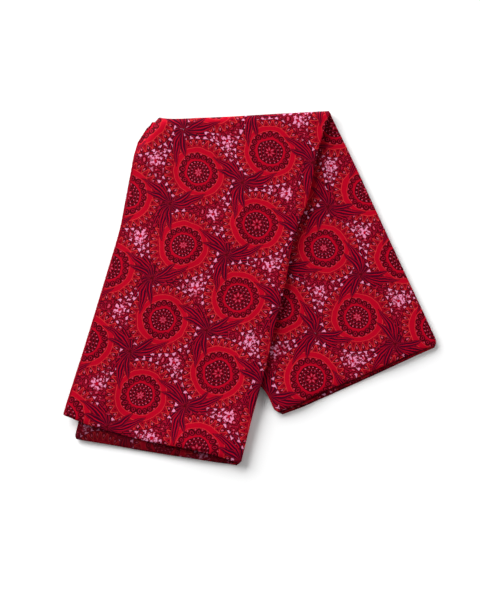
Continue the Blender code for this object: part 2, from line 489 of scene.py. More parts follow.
class ClothSizes(PropertyGroup):
    """Sizes of the cloth and of its folds."""

    width: length("Cloth width", "Width from selvedge to selvedge", 1.130)
    length: length("Cloth length", "Length from one cut end to the other", 1.000)
    thickness: length("Thickness", "Thickness of the cotton", 0.00045)
    solid_sheet: length("Solid's sheet", "Thickness of the sheet in the solid", 0.0010)
    pitch: length("Layer pitch", "Distance from one layer to the next", 0.0024)
    leg_gap: length("Leg gap", "Gap between the two legs at the turn", 0.0026)
    left_leg: length("Left leg", "Length of the left leg, which lies on top", 0.537)
    leg_turn: angle("Leg turn", "Slant of the left leg from the view", radians(14.0))
    fold_turn: angle("Fold turn", "Slant of the fold line from the view", radians(4.2))
    settle_run: length("Settle run", "Length over which the leg gap closes", 0.380)
    drape_run: length("Drape run", "Length over which the left leg drops", 0.095)
    swell_run: length("Swell run", "Length over which swells fade in", 0.050)
    bow_run: length("Bow run", "Reach of the fold line's bows into the legs", 0.060)
    pinch: number("Pinch", "Share of the height that is lost at the first fold's side", 0.16)
    pinch_run: length("Pinch run", "Length over which that side rolls down", 0.007)
    pinch_start: length("Pinch start", "Length over which the pinch grows from the turn", 0.240)
    loose: number("Looseness", "How much more the upper layers lift than the lower ones", 2.6)
    roll: number("Roll", "Share of the height that is lost at the fold line", 0.46)
    roll_run: length("Roll's run", "Length over which the cloth rolls down there", 0.015)
    droop: number("Droop", "Share of the height that is lost at the cut ends", 0.14)
    droop_run: length("Droop's run", "Length over which the cut ends droop", 0.006)
    corner_slope: number("Corner slope", "Slant at which the cut corners are rounded", 1.2)
    place: place("Place", "Middle of the fold line", (-0.023885, 0.275252, 0.0))
    panel_steps: count("Steps across", "Steps across each layer", 40)
    side_steps: count("Side fold steps", "Steps round each side fold", 8)
    turn_steps: count("Turn steps", "Steps over the turn", 18)
    left_steps: count("Left leg steps", "Steps along the left leg", 64)
    right_steps: count("Right leg steps", "Steps along the right leg", 56)


class PrintColours(PropertyGroup):
    """Colours of the print, the reverse and the raw edge."""

    ground: colour("Ground", "Dark crimson ground", srgb(116, 0, 22))
    deep: colour("Deep", "Maroon of the outlines", srgb(62, 0, 8))
    plum: colour("Plum", "Dark plum of the leaves", srgb(58, 0, 24))
    red: colour("Red", "Red of the rosettes", srgb(138, 0, 24))
    crimson: colour("Crimson", "Bright crimson of the plain bands", srgb(164, 0, 28))
    vein: colour("Vein", "Dull rose of the leaves' veins and outlines", srgb(146, 8, 38))
    orange: colour("Orange", "Vermilion of the fine lines", srgb(202, 50, 50))
    rose: colour("Rose", "Rose of the seeds and small petals", srgb(184, 60, 88))
    blossom: colour("Blossom", "Pale pink of the lace and blossoms", srgb(212, 128, 164))
    selvedge: colour("Selvedge", "Plain crimson of the woven edges", srgb(124, 2, 22))
    raw_edge: colour("Raw edge", "Pale edge where the cotton is cut", srgb(196, 92, 104))
    yarn: colour("Yarn", "Loose yarns at the cut ends", srgb(120, 12, 28))


class PrintSizes(PropertyGroup):
    """Sizes of the print in millimetres, and of the weave."""

    scale: number("Scale", "How much the print's sizes are enlarged", 1.15)
    across: number("Column pitch", "Distance between columns of rosettes, in mm", 92.0)
    along: number("Row pitch", "Distance between rosettes in a column, in mm", 106.2)
    selvedge: number("Selvedge", "Width of the plain woven edges, in mm", 3.0)
    wander: number("Wander", "How far drawn lines stray, in mm", 2.2)
    soft: number("Soft edge", "Half the width of a printed edge's blur, in mm", 0.22)
    thread: number("Thread pitch", "Distance between threads, in mm", 0.5)
    roughness: number("Roughness", "Roughness of the cotton", 0.82)
    shine: number("Shine", "Specular level of the cotton", 0.03)
    weave: number("Weave strength", "Strength of the weave's relief", 0.12)
    # The reverse's fade is partly its duller print and partly painted shade: it darkens the lower
    # layers that show at the cut ends, where they lie in shade.
    fade: number("Fade", "How much darker the print is on the reverse", 0.55)


class FrayingSizes(PropertyGroup):
    """Sizes of the loose yarns along the cut ends."""

    spacing: length("Spacing", "Distance between loose yarns", 0.0032)
    diameter: length("Diameter", "Diameter of a yarn", 0.00024)
    shortest: length("Shortest", "Shortest yarn past the cut", 0.0003)
    longest: length("Longest", "Longest yarn past the cut", 0.0013)
    spread: number("Spread", "How far yarns splay sideways", 0.55)
    bend: length("Bend", "How far a yarn's tip bends aside", 0.0002)
    seed: IntProperty(name="Seed", description="Seed of the random draws", default=4, min=0)


class StudioSizes(PropertyGroup):
    """Camera, lights and floor."""

    target: place("Target", "Point at which the camera looks", (-0.0184, -0.0273, 0.0))
    distance: length("Distance", "Distance of the camera from its target", 1.600)
    elevation: angle("Elevation", "Camera's height above the horizon", radians(78.0))
    lens: number("Lens", "Focal length, in mm on a 36 mm sensor", 60.8)
    floor_size: length("Floor size", "Length of the floor's sides", 8.0)
    floor: colour("Floor", "Pale floor", (0.92, 0.92, 0.92))
    sky: number("Sky", "Strength of the even light from the sky", 0.22)
    key: number("Key light", "Power of the key light, in watts", 1152.0)
    key_place: place("Key light's place", "It faces the origin", (-3.53, 3.68, 1.50))
    key_size: length("Key light's size", "Length of its sides", 5.7)
    edge: number("Edge light", "Power of the low light on the cut edges, in watts", 168.0)
    edge_place: place("Edge light's place", "It faces the origin", (4.40, -1.40, 1.00))
    edge_size: length("Edge light's size", "Length of its sides", 3.0)


# The folds


def blend(start, stop, share):
    """Value a share of the way from start to stop."""
    return start + (stop - start) * share


def turned(x, y, turn):
    """A flat place turned about the origin."""
    return x * cos(turn) - y * sin(turn), x * sin(turn) + y * cos(turn)


def clamped(value):
    """A value held between 0 and 1."""
    return min(max(value, 0.0), 1.0)


def ease(value):
    """Smooth step from 0 to 1."""
    value = clamped(value)
    return value * value * (3 - 2 * value)


def near_edge(gap, run):
    """1 at an edge, and less in a soft curve until 0 where the gap to it is a run wide."""
    return max(1 - gap / run, 0.0) ** 2


def hump(*shares):
    """Soft hump over distances given as shares of its widths: 1 in its middle, 0 far from it."""
    return exp(-sum(share ** 2 for share in shares))


def profile(values, share):
    """Smooth curve through values in millimetres at even steps from share 0 to 1, in metres."""
    last = len(values) - 1
    place = clamped(share) * last
    index = min(int(place), last - 1)
    part = place - index
    before, start, stop, after = (
        values[min(max(index + step, 0), last)] for step in (-1, 0, 1, 2)
    )
    curve = stop - before + part * (
        2 * before - 5 * start + 4 * stop - after + part * (3 * (start - stop) + after - before)
    )
    return (start + part * curve / 2) * 0.001


def corner_inset(distance, reach, slant):
    """How far a rounded corner draws an edge in, as a soft curve along its reach."""
    return slant / 2 * max(reach - distance, 0.0) ** 2 / reach


def swell_rise(swell, along, side):
    """Rise of one swell at a place."""
    return swell.rise * hump(
        (along - swell.along) / swell.long, (side - swell.side) / swell.wide
    )


def crease_rise(crease, along, side):
    """Rise of one crease at a place, which fades out past both of its ends."""
    (start_along, start_side), (stop_along, stop_side) = crease.start, crease.stop
    run = hypot(stop_along - start_along, stop_side - start_side)
    way_along, way_side = (stop_along - start_along) / run, (stop_side - start_side) / run
    ahead = (along - start_along) * way_along + (side - start_side) * way_side
    beside = (side - start_side) * way_along - (along - start_along) * way_side
    share = ahead / run
    bow = crease.width * CREASE_BOW * sin(pi * clamped(share))
    fade = ease((share + CREASE_FADE) / (2 * CREASE_FADE))
    fade *= ease((1 + CREASE_FADE - share) / (2 * CREASE_FADE))
    return crease.rise * fade * hump((beside - bow) / crease.width)


class Folds:
    """Places of the cloth's points on its folds, worked out from the cloth's sizes."""

    def __init__(self, sizes):
        self.sizes = sizes
        self.legs = {"left": sizes.left_leg, "right": sizes.length - sizes.left_leg}
        self.half_strip = sizes.width / LAYERS / 2
        self.stack = (LAYERS - 1) * sizes.pitch
        self.side_radius = sizes.pitch / 2
        self.fold_radius = (self.stack + sizes.solid_sheet + sizes.leg_gap) / 2
        self.fold_height = self.stack / 2 + self.fold_radius + sizes.thickness / 2
        self.turn_run = self.fold_radius * pi / 2
        self.slant = sizes.leg_turn + sizes.fold_turn

    def square_side(self, edge, row):
        """Signed distance of an edge from the middle of the strip, before it is rounded."""
        out = profile(edge.right if row.leg == "right" else edge.left, row.share)
        return edge.side * (self.half_strip + out)

    def edge_side(self, edge, row):
        """Signed distance of an edge from the middle of the strip on a row."""
        if row.leg == "turn":
            inset = 0.0
            from_fold = abs(row.angle - pi / 2) * self.fold_radius
        else:
            reach = edge.round_left if row.leg == "left" else edge.round_right
            run = self.legs[row.leg]
            inset = corner_inset((1 - row.share) * run, reach, self.sizes.corner_slope)
            from_fold = row.share * run + self.turn_run
        inset += corner_inset(from_fold, edge.round_turn, edge.slant_turn)
        return self.square_side(edge, row) - edge.side * inset

    def across(self, row, column):
        """Sideways place and level of a column on a row, with level 0 lowest on the left leg."""
        start_edge, stop_edge = EDGES[column.layer], EDGES[column.layer + 1]
        start, stop = self.edge_side(start_edge, row), self.edge_side(stop_edge, row)
        if column.layer > 0:
            start -= start_edge.side * self.side_radius
        if column.layer < LAYERS - 1:
            stop -= stop_edge.side * self.side_radius
        side = blend(start, stop, column.share)
        side += stop_edge.side * self.side_radius * sin(column.angle)
        level = LAYERS - 1 - column.layer - (1 - cos(column.angle)) / 2
        return side, level

    def flat_place(self, row, column, side):
        """Place in the flat strip beside and ahead of its fold line, and along the strip."""
        slant = self.slant
        if row.leg == "turn":
            ahead = (row.angle - pi / 2) * self.fold_radius
            along = (ahead + side * sin(slant)) / cos(slant)
            beside = side * cos(slant) + along * sin(slant)
        else:
            sign = -1 if row.leg == "left" else 1
            ends = LAYER_ENDS[column.layer]
            past_square = profile(ends.left if row.leg == "left" else ends.right, column.share)
            turn_end = (sign * self.turn_run + side * sin(slant)) / cos(slant)
            cut = sign * (self.legs[row.leg] + past_square)
            along = blend(turn_end, cut, row.share)
            ahead, beside = turned(along, side, slant)
        return beside, ahead, along

    def drop_share(self, beside, ahead):
        """How much of its full drop the left leg has made where it leaves the right leg."""
        side, along = turned(beside, -ahead, self.slant)
        share = clamped(along / self.legs["right"])
        inner = max(profile(edge.right, share) for edge in EDGES if edge.side < 0)
        beyond = -side - self.half_strip - inner
        run = self.sizes.drape_run
        return ease(beyond / run) * ease((-ahead - self.turn_run) / run)

    def rise(self, leg, beside, ahead):
        """Rise of the uppermost layer at a place, none at the fold or under the left leg."""
        side, along = turned(beside, ahead if leg == "left" else -ahead, self.slant)
        along = abs(along)
        rise = sum(swell_rise(swell, along, side) for swell in SWELLS if swell.leg == leg)
        rise += sum(crease_rise(crease, along, side) for crease in CREASES if crease.leg == leg)
        run = self.sizes.swell_run
        rise *= ease((-ahead - self.turn_run) / run)
        if leg == "right":
            left_leg_side, _ = turned(beside, ahead, self.slant)
            rise *= ease((left_leg_side - self.half_strip) / run)
        return rise

    def lift(self, row, beside, ahead, side, level):
        """Height of a level above its leg's lowest one, less near the first fold and the cut."""
        sizes = self.sizes
        edge_gap = max(max(self.edge_side(edge, row) for edge in EDGES) - side, 0.0)
        near = near_edge(edge_gap, sizes.pinch_run)
        near *= ease((-ahead - self.turn_run) / sizes.pinch_start)
        share = level / (LAYERS - 1)
        rise = self.rise(row.leg, beside, ahead) * share ** sizes.loose
        to_cut = (1 - row.share) * self.legs[row.leg]
        droop = sizes.droop * near_edge(to_cut, sizes.droop_run)
        return (level * sizes.pitch * (1 - sizes.pinch * near) + rise) * (1 - droop)

    def sagged(self, beside, ahead, height):
        """A place's height, lowered at the fold line and where a corner sags."""
        sizes = self.sizes
        floor = sizes.thickness / 2
        outer = self.fold_radius + self.stack / 2 - self.turn_run
        height = blend(height, floor, sizes.roll * near_edge(outer - ahead, sizes.roll_run))
        out, _ = turned(beside - SAG.beside, SAG.ahead - ahead, SAG.way)
        return blend(height, floor, SAG.share * clamped(out / SAG.run) ** 2)

    def bowed(self, beside, ahead):
        """A place's distance ahead, where the fold line bows out of its straight."""
        bows = sum(bow.out * hump((beside - bow.beside) / bow.wide) for bow in BOWS)
        return ahead + hump(ahead / self.sizes.bow_run) * bows

    def cloth_across(self, row, column, side):
        """How far across the flat cloth a point lies from the top selvedge."""
        width = self.sizes.width
        bend = pi * self.side_radius
        top, low = self.square_side(EDGES[0], row), self.square_side(EDGES[-1], row)
        if column.layer == 0:
            if not column.angle:
                return abs(side - top)
            edge = abs(self.edge_side(EDGES[1], row) - top)
            return edge - self.side_radius + column.angle * self.side_radius
        if column.layer == LAYERS - 1:
            return width - abs(side - low)
        start = abs(self.square_side(EDGES[1], row) - top) + bend
        stop = width - abs(self.square_side(EDGES[-2], row) - low) - bend
        middle = (start + stop) / 2
        if column.layer == 1:
            reached = blend(start, middle - bend / 2, column.share)
        else:
            reached = blend(middle + bend / 2, stop, column.share)
        return reached + column.angle * self.side_radius

    def point(self, row, column):
        """Place of one point of the sheet's middle, and its place on the flat cloth."""
        sizes = self.sizes
        side, level = self.across(row, column)
        beside, ahead, along = self.flat_place(row, column, side)
        on_cloth = (self.cloth_across(row, column, side), along + sizes.left_leg)
        if row.leg == "turn":
            radius = self.fold_radius + level * sizes.pitch - self.stack / 2
            ahead = radius * sin(row.angle) - self.turn_run
            height = self.fold_height + radius * cos(row.angle)
        else:
            base = sizes.thickness / 2
            if row.leg == "left":
                settled = sizes.leg_gap * ease((-ahead - self.turn_run) / sizes.settle_run)
                lifted = self.fold_height + self.fold_radius - self.stack / 2 - settled
                base = blend(lifted, base, self.drop_share(beside, ahead))
            else:
                beside -= swell_rise(NOTCH, along, side)
                ahead = -ahead
                level = LAYERS - 1 - level
            height = base + self.lift(row, beside, ahead, side, level)
        height = self.sagged(beside, ahead, height)
        ahead = self.bowed(beside, ahead)
        x, y = turned(beside, ahead, sizes.fold_turn)
        return Vector((x, y, height)) + Vector(sizes.place), on_cloth

    def leg_rows(self, leg, steps):
        """Rows of a leg from its turn to its cut, closer together near both."""
        run = self.legs[leg]
        shares = [step / NEAR_STEPS for step in range(NEAR_STEPS + 1)]
        near = [NEAR_RUN * share ** NEAR_POWER for share in shares]
        even = [blend(near[-1], run - near[-1], step / steps) for step in range(1, steps)]
        distances = near + even + [run - gap for gap in reversed(near)]
        return [Row(leg, distance / run, 0.0) for distance in distances]

    def rows(self):
        """Rows of the whole strip, from the left cut over the turn to the right cut."""
        steps = self.sizes.turn_steps
        turn = [Row("turn", 0.0, pi * step / steps) for step in range(1, steps)]
        left = self.leg_rows("left", self.sizes.left_steps)
        return left[::-1] + turn + self.leg_rows("right", self.sizes.right_steps)

    def columns(self):
        """Columns from the top selvedge through every layer, closer together near its folds."""
        panel, fold = self.sizes.panel_steps, self.sizes.side_steps
        even = [step / panel for step in range(panel + 1)]
        shares = [blend(share, (1 - cos(pi * share)) / 2, CROWDING) for share in even]
        columns = []
        for layer in range(LAYERS):
            columns += [Column(layer, share, 0.0) for share in shares]
            if layer < LAYERS - 1:
                columns += [Column(layer, 1.0, pi * step / fold) for step in range(1, fold)]
        return columns


# Nodes and the numbers that they make


def operator(operation):
    """A plain operator on two numbers, the first of which is made by nodes."""
    return lambda value, other: maths(operation, value, other)


def swapped(operation):
    """The same operator where the second number is the one made by nodes."""
    return lambda value, other: maths(operation, other, value)


class Value:
    """A number at each point of a surface, made by nodes and joined by plain operators."""

    def __init__(self, socket):
        self.socket = socket

    __add__, __radd__ = operator("ADD"), swapped("ADD")
    __sub__, __rsub__ = operator("SUBTRACT"), swapped("SUBTRACT")
    __mul__, __rmul__ = operator("MULTIPLY"), swapped("MULTIPLY")
    __truediv__ = operator("DIVIDE")

    def __abs__(self):
        return maths("ABSOLUTE", self)


def add_node(tree, kind, inputs=(), **settings):
    """A node with its settings, and its inputs linked to nodes or set to plain values."""
    node = tree.nodes.new(kind)
    for name, value in settings.items():
        setattr(node, name, value)
    for name, value in dict(inputs).items():
        if isinstance(value, Value):
            value = value.socket
        elif isinstance(value, bpy.types.Node):
            value = value.outputs[0]
        if isinstance(value, bpy.types.NodeSocket):
            tree.links.new(value, node.inputs[name])
        else:
            node.inputs[name].default_value = value
    return node


def maths(operation, *values):
    """One step of arithmetic on numbers, of which at least one comes from a node."""
    tree = next(value for value in values if isinstance(value, Value)).socket.id_data
    node = add_node(tree, "ShaderNodeMath", enumerate(values), operation=operation)
    return Value(node.outputs[0])


def wrapped(value, half):
    """A value brought between minus half and half by whole repeats."""
    return maths("WRAP", value, half, -half)


def inside(value, edge, soft):
    """1 where a value is below an edge and 0 where it is above, with a soft change between."""
    inputs = enumerate((value, edge - soft, edge + soft, 1.0, 0.0))
    tree = value.socket.id_data
    node = add_node(tree, "ShaderNodeMapRange", inputs, interpolation_type="SMOOTHSTEP")
    return Value(node.outputs[0])


def noise(tree, place, pattern, dimensions="2D"):
    """Soft random numbers and colours over a surface."""
    inputs = {"Scale": pattern[0], "Detail": pattern[1], "Vector": place}
    return add_node(tree, "ShaderNodeTexNoise", inputs, noise_dimensions=dimensions)


class Paint:
    """A colour that is built up by painting the print's inks over one of them."""

    def __init__(self, tree, inks, ground):
        self.tree = tree
        self.inks = inks
        self.socket = tree.nodes.new("ShaderNodeRGB").outputs[0]
        self.socket.default_value = (*getattr(inks, ground), 1.0)

    def over(self, mask, ink):
        """Paints an ink where a mask is 1."""
        node = add_node(self.tree, "ShaderNodeMix", {0: mask}, data_type="RGBA")
        first, second = (socket for socket in node.inputs if socket.type == "RGBA")
        self.tree.links.new(self.socket, first)
        second.default_value = (*getattr(self.inks, ink), 1.0)
        self.socket = next(socket for socket in node.outputs if socket.type == "RGBA")

    def rings(self, rings, spot):
        """Paints the rings of a motif, one over the other."""
        for ring in rings:
            self.over(ring.mask(spot), ring.ink)

    def edges(self, share, edges, within=None):
        """Paints inks where a share is below each one's edge, within a mask if one is given."""
        for ink, edge, blur in edges:
            mask = inside(share, edge, blur)
            self.over(mask * within if within else mask, ink)


# The print


class Spot(NamedTuple):
    """A point seen from the nearest centre of a half-drop layout, and how rings are drawn there.

    Rings stand at the drawn radius, and their edges are softened by soft.
    """

    radius: Value
    turn: Value
    dropped: Value
    drawn: Value
    soft: float


def nearest(x, y, print_sizes):
    """The place of a point from the nearest centre, and 1 where that is in a dropped column."""
    across, half = print_sizes.across, print_sizes.along / 2
    first_x, first_y = wrapped(x, across), wrapped(y, half)
    second_x, second_y = wrapped(x - across, across), wrapped(y - half, half)
    first = first_x * first_x + first_y * first_y
    second = second_x * second_x + second_y * second_y
    dropped = maths("LESS_THAN", second, first)
    near_x = first_x + dropped * (second_x - first_x)
    near_y = first_y + dropped * (second_y - first_y)
    radius = maths("SQRT", maths("MINIMUM", first, second))
    return Spot(radius, maths("ARCTAN2", near_y, near_x), dropped, radius, print_sizes.soft)


def in_sector(spot, sectors, between=False):
    """Sideways distance of a point from the middle line of its sector, or from the next edge."""
    turn = spot.turn + pi / sectors if between else spot.turn
    return wrapped(turn, pi / sectors) * spot.radius


def paint_ground(paint, spot, flecks, patches):
    """Rows of scales that fill the gaps between rosettes, under patches of pale lace crumbs."""
    paint.rings(SCALES, spot)
    crumbs = inside(1.0 - flecks, *CRUMB_FLECKS) * inside(1.0 - patches, *CRUMB_PATCHES)
    paint.over(crumbs * inside(CRUMBS_START - spot.radius, 0.0, LACE_BLUR), "blossom")


def paint_lace(paint, spot, flecks, patches):
    """Toothed lace with dark seeds round a rosette, and a pale fringe that comes and goes."""
    radius = spot.radius
    paint.rings(LACE, spot._replace(soft=LACE_BLUR))
    share = abs(in_sector(spot, TEETH)) / (radius * (pi / TEETH))
    teeth = inside(abs(share - (radius - TEETH_START) / TEETH_LONG), TOOTH_LINE, TOOTH_BLUR)
    paint.over(teeth * inside(radius, TEETH_STOP, RIM_BLUR), "orange")
    paint.rings(LACE_SEEDS, spot)
    tufts = abs(in_sector(spot, TUFTS)) / TUFT_WIDE + (radius - TUFT_START) / TUFT_LONG
    fringe = tufts + (flecks - 0.5) * TUFT_RAGGED
    rim = FRINGE_RIM.mask(spot._replace(soft=RIM_BLUR))
    paint.edges(fringe, FRINGE_EDGES, rim)
    pale = inside(fringe, *PALE_FRINGE) * rim * inside(1.0 - patches, *PALE_PATCHES)
    paint.over(pale, FRINGE_RIM.ink)


def paint_rosette(paint, spot):
    """Flower, rings of seeds, petals and plain bands round each centre."""
    smaller = spot.radius + spot.dropped * DROPPED_SMALLER
    paint.rings(ROSETTE, spot._replace(drawn=smaller))


def paint_leaves(paint, spot, leaf):
    """Three curved leaves with fine veins, round the gap between three rosettes."""
    turn = wrapped(spot.turn + leaf.turn, pi / LEAF_COUNT)
    ahead = spot.radius * maths("COSINE", turn)
    beside = spot.radius * maths("SINE", turn) - ahead * ahead * (leaf.curl / leaf.reach)
    far = (ahead - leaf.reach / 2 - LEAF_START) / (leaf.reach / 2)
    room = 1.0 - far * far
    share = abs(beside) / leaf.half_wide - room
    paint.edges(share, LEAF_EDGES)
    vein = wrapped(beside / maths("MAXIMUM", room, LEAST_ROOM), LEAF_VEIN)
    paint.over(inside(abs(vein), *VEIN_LINE) * inside(share, *VEIN_ROOM), "crimson")


def paint_blossom(paint, spot, flecks):
    """A small blossom of five ragged petals in the gap between three rosettes."""
    ragged = BLOSSOM.share(spot) + (flecks - 0.5) * BLOSSOM_RAGGED
    paint.edges(ragged, BLOSSOM_EDGES)
    paint.over(inside(ragged, BLOSSOM.filled, BLOSSOM.blur), BLOSSOM.ink)
    paint.rings((BLOSSOM_HEART,), spot)


def cloth_places(tree):
    """The node with each point's place on the flat cloth, and its parts across and along it."""
    place = add_node(tree, "ShaderNodeUVMap", uv_map=CLOTH_MAP)
    split = add_node(tree, "ShaderNodeSeparateXYZ", {"Vector": place})
    return place, Value(split.outputs[0]), Value(split.outputs[1])


def printed(tree, inks, print_sizes, cloth_width, fade):
    """The print's colour at each place of the cloth, sunk in its ground by a share of fade, which
    is partly the reverse's duller print and partly painted shade.
    """
    place, across, along = cloth_places(tree)
    lines = noise(tree, place, STRAY_NOISE).outputs["Color"]
    stray = add_node(tree, "ShaderNodeSeparateColor", {"Color": lines})
    wander = print_sizes.wander * 2
    scale = MILLIMETRES / print_sizes.scale
    x = across * scale + (Value(stray.outputs[0]) - 0.5) * wander
    y = along * scale + (Value(stray.outputs[1]) - 0.5) * wander
    flecks = Value(noise(tree, place, FLECK_NOISE).outputs[0])
    patches = Value(noise(tree, place, PATCH_NOISE).outputs[0])
    gap = print_sizes.across * 2 / 3
    paint = Paint(tree, inks, "ground")
    rosette = nearest(x, y, print_sizes)
    paint_ground(paint, rosette, flecks, patches)
    paint_blossom(paint, nearest(x + gap, y, print_sizes), flecks)
    sprig = nearest(x - gap, y, print_sizes)
    for leaf in LEAVES_BELOW:
        paint_leaves(paint, sprig, leaf)
    paint_lace(paint, rosette, flecks, patches)
    paint_rosette(paint, rosette)
    for leaf in LEAVES_ABOVE:
        paint_leaves(paint, sprig, leaf)
    from_edge = cloth_width / 2 - abs(across - cloth_width / 2)
    paint.over(inside(from_edge * MILLIMETRES, print_sizes.selvedge, RIM_BLUR), "selvedge")
    # On the reverse the print sinks in its ground: partly its duller print, partly painted shade
    # for the lower layers at the cut ends.
    if fade:
        paint.over(fade * SUNK_SHARE, "ground")
    return paint.socket


def weave_height(tree, thread):
    """Relief of the plain weave, over threads that differ in thickness."""
    place, across, along = cloth_places(tree)
    turns = MILLIMETRES * pi / thread
    warp, weft = maths("SINE", across * turns), maths("SINE", along * turns)
    slubs = noise(tree, place, SLUB_NOISE, "3D")
    return warp * weft * THREAD_SHARE + Value(slubs.outputs[0])


def new_material(name, roughness, shine):
    """A material with its surface's roughness and shine, its node tree and that surface."""
    material = bpy.data.materials.new(name)
    material.use_nodes = True
    surface = material.node_tree.nodes["Principled BSDF"]
    surface.inputs["Roughness"].default_value = roughness
    surface.inputs["Specular IOR Level"].default_value = shine
    return material, material.node_tree, surface


def cotton(name, inks, print_sizes, cloth_width, fade):
    """Cotton with the print, duller and darker where fade is above zero; on the reverse this is
    partly the duller print and partly painted shade.
    """
    material, tree, surface = new_material(name, print_sizes.roughness, print_sizes.shine)
    colours = printed(tree, inks, print_sizes, cloth_width, fade)
    # Darkens the whole reverse by the fade: partly its duller print, partly painted shade for the
    # layers seen in shade at the cut ends.
    shade = add_node(tree, "ShaderNodeHueSaturation", {"Value": 1.0 - fade, "Color": colours})
    relief = add_node(
        tree, "ShaderNodeBump",
        {
            "Strength": print_sizes.weave,
            "Distance": print_sizes.thread * WEAVE_DEPTH / MILLIMETRES,
            "Height": weave_height(tree, print_sizes.thread),
        },
    )
    tree.links.new(shade.outputs[0], surface.inputs["Base Color"])
    tree.links.new(relief.outputs[0], surface.inputs["Normal"])
    return material


def fibrous(name, inks, ink, darker):
    """Raw or loose fibres in one ink, mottled with another."""
    material, tree, surface = new_material(name, *FIBRE_FINISH)
    place = tree.nodes.new("ShaderNodeTexCoord")
    mottle = noise(tree, place.outputs["Object"], MOTTLE_NOISE, "3D")
    paint = Paint(tree, inks, ink)
    paint.over(inside(Value(mottle.outputs[0]), *MOTTLE_EDGE), darker)
    tree.links.new(paint.socket, surface.inputs["Base Color"])
    return material


# Objects


def in_scene(name, data):
    """A new object in the scene."""
    thing = bpy.data.objects.new(name, data)
    bpy.context.scene.collection.objects.link(thing)
    return thing


def shown(name, mesh, materials):
    """An object in the scene that shows a mesh in its materials."""
    for material in materials:
        mesh.materials.append(material)
    return in_scene(name, mesh)


def set_inputs(modifier, values):
    """Sets a Geometry Nodes modifier's inputs, found by name and set by identifier."""
    for item in modifier.node_group.interface.items_tree:
        if item.item_type == "SOCKET" and item.in_out == "INPUT" and item.name in values:
            modifier[item.identifier] = values[item.name]


def make_plain(thing):
    """Turns an object's mesh and modifiers into one plain mesh."""
    scene_graph = bpy.context.evaluated_depsgraph_get()
    mesh = bpy.data.meshes.new_from_object(thing.evaluated_get(scene_graph))
    thing.modifiers.clear()
    source, thing.data = thing.data, mesh
    bpy.data.meshes.remove(source)
    mesh.name = thing.name


def sheet_mesh(folds):
    """Open sheet of the folded cloth with its places on the flat cloth, printed side up."""
    columns = folds.columns()
    sheet = bmesh.new()
    cloth_map = sheet.loops.layers.uv.new(CLOTH_MAP)
    grid = []
    on_cloth = {}
    for row in folds.rows():
        grid.append([])
        for column in columns:
            place, flat = folds.point(row, column)
            point = sheet.verts.new(place)
            on_cloth[point] = flat
            grid[-1].append(point)
    for upper, lower in zip(grid, grid[1:]):
        for left in range(len(columns) - 1):
            corners = (upper[left], upper[left + 1], lower[left + 1], lower[left])
            face = sheet.faces.new(corners)
            face.smooth = True
            for corner in face.loops:
                corner[cloth_map].uv = on_cloth[corner.vert]
    mesh = bpy.data.meshes.new("printed_cloth")
    sheet.normal_update()
    sheet.faces.ensure_lookup_table()
    if sheet.faces[0].normal.z < 0:
        bmesh.ops.reverse_faces(sheet, faces=sheet.faces)
    sheet.to_mesh(mesh)
    sheet.free()
    return mesh


def in_patch(patch, across, along):
    """Place in the image of a place on the cloth."""
    left, low, right, high = patch.cloth
    across_share, along_share = (across - left) / (right - left), (along - low) / (high - low)
    left, low, right, high = patch.image
    return (
        blend(left + PATCH_MARGIN, right - PATCH_MARGIN, across_share),
        blend(low + PATCH_MARGIN, high - PATCH_MARGIN, along_share),
    )


def patch_at(patches, across, along):
    """The patch that shows a place of the cloth."""

    def outside(patch):
        left, low, right, high = patch.cloth
        return max(left - across, across - right, low - along, along - high)

    return min(patches, key=outside)


def add_image_map(mesh):
    """Spreads the two sides and the rim of the cloth over the image that can keep its colours."""
    cloth = mesh.uv_layers[CLOTH_MAP].uv
    image = mesh.uv_layers.new(name=IMAGE_MAP).uv
    half = len(mesh.vertices) // 2
    left, low, right, high = RIM_IMAGE
    for face in mesh.polygons:
        places = [cloth[loop].vector for loop in face.loop_indices]
        if face.material_index == RIM_MATERIAL:
            for loop, place in zip(face.loop_indices, places):
                second = mesh.loops[loop].vertex_index >= half
                share = (place.x + place.y) / RIM_REACH + RIM_START
                image[loop].vector = (blend(left, right, share), high if second else low)
            continue
        patches = (PRINT_PATCHES, REVERSE_PATCHES)[face.material_index]
        middle = sum(places, Vector((0.0, 0.0))) / len(places)
        patch = patch_at(patches, middle.x, middle.y)
        for loop, place in zip(face.loop_indices, places):
            image[loop].vector = in_patch(patch, place.x, place.y)


class CLOTH_OT_folded_sheet(Operator):
    """Make the printed cloth on its folds, in place of its solid"""

    bl_idname = "cloth.folded_sheet"
    bl_label = "Folded Printed Cloth"

    def execute(self, context):
        scene = context.scene
        sizes, inks, print_sizes = scene.cloth_sizes, scene.print_colours, scene.print_sizes
        materials = (
            cotton("printed cotton", inks, print_sizes, sizes.width, 0.0),
            # The reverse is darker by the fade, partly as painted shade for the lower layers seen
            # at the cut ends.
            cotton("reverse of the cotton", inks, print_sizes, sizes.width, print_sizes.fade),
            fibrous("raw cotton edge", inks, "raw_edge", "rose"),
        )
        cloth = shown("printed_cloth", sheet_mesh(Folds(sizes)), materials)
        shell = cloth.modifiers.new("thickness", "SOLIDIFY")
        shell.thickness = sizes.thickness
        shell.offset = 0.0
        shell.material_offset = 1
        shell.material_offset_rim = RIM_MATERIAL
        make_plain(cloth)
        add_image_map(cloth.data)
        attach(cloth, "root")
        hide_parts(CLOTH_NODE)
        return {"FINISHED"}


def new_tree(name, inputs):
    """Geometry Nodes tree with named inputs after its geometry, and its two end nodes."""
    tree = bpy.data.node_groups.new(name, "GeometryNodeTree")
    for label, kind in (("Geometry", "Geometry"), *inputs):
        tree.interface.new_socket(label, in_out="INPUT", socket_type=f"NodeSocket{kind}")
    tree.interface.new_socket("Geometry", in_out="OUTPUT", socket_type="NodeSocketGeometry")
    return tree, tree.nodes.new("NodeGroupInput"), tree.nodes.new("NodeGroupOutput")


